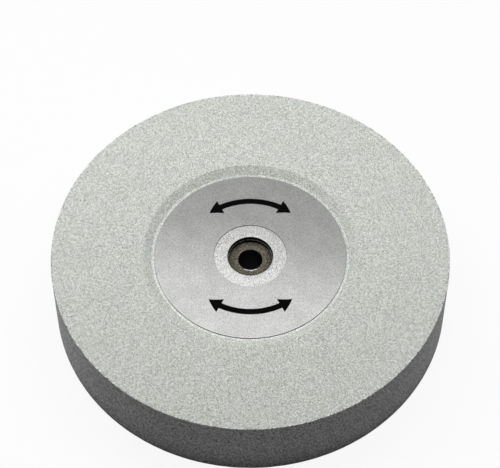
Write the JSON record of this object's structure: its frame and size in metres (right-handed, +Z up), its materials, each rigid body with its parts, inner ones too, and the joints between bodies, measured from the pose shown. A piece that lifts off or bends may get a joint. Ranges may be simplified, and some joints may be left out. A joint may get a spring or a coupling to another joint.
{
  "type": "grinding wheel",
  "caption": "Round fine-grit grinding wheel for a wet sharpener, with dished sides, silver paper labels and a bushed centre bore.",
  "frame": {"origin": "centre of the wheel's lower face, on its axis, at the height of the surface that it lies on", "axes": "+Z up along the wheel's axis, from the lower face to the upper; X and Y are free, because the wheel is round"},
  "size_m": [0.2, 0.2, 0.04],
  "materials": {
    "abrasive": "fine-grained bonded abrasive, pale grey, matt",
    "bush": "turned, dark brown-grey",
    "compound": "cast resin, nearly black, dusty on its ledge",
    "label": "satin silver paper"
  },
  "bodies": {
    "root": {"grindstone": "abrasive", "arbor_bush": "bush", "setting_compound": "compound", "front_label": "label", "back_label": "label"}
  },
  "joints": []
}
